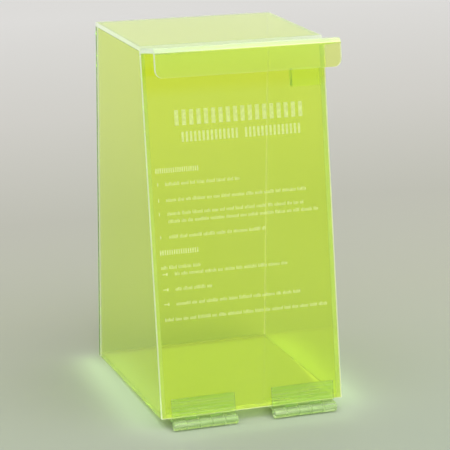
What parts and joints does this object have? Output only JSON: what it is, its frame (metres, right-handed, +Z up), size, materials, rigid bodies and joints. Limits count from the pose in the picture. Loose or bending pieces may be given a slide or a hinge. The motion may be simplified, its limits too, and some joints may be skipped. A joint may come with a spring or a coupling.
{
  "type": "eyewash station",
  "caption": "Clear fluorescent acrylic eyewash station cabinet with a sloped front door hinged at its foot, a bent pull along the door's top and room inside for a bottle.",
  "frame": {"origin": "middle of the lower edge of the cabinet's flat back face", "axes": "+X to the right seen from the door, +Y towards the wall, +Z up"},
  "size_m": [0.165, 0.1911, 0.3233],
  "materials": {
    "acrylic_sheet": "gloss",
    "hinge_plastic": "gloss",
    "pin_rod": "gloss",
    "print_ink": "matte"
  },
  "bodies": {
    "cabinet": {"back_panel": "acrylic_sheet", "left_side_panel": "acrylic_sheet", "right_side_panel": "acrylic_sheet", "top_panel": "acrylic_sheet", "bottom_panel": "acrylic_sheet", "stop_block": "acrylic_sheet", "left_hinge_base_leaf": "hinge_plastic", "right_hinge_base_leaf": "hinge_plastic", "left_hinge_pin": "pin_rod", "right_hinge_pin": "pin_rod"},
    "door": {"door_panel": "acrylic_sheet", "left_hinge_door_leaf": "hinge_plastic", "right_hinge_door_leaf": "hinge_plastic"}
  },
  "joints": [
    {"name": "door_hinge", "type": "hinge", "parent": "cabinet", "child": "door", "pos_m": [0, -0.18713, -0.004], "axis": [1, 0, 0], "range_deg": [0, 96.5]}
  ]
}
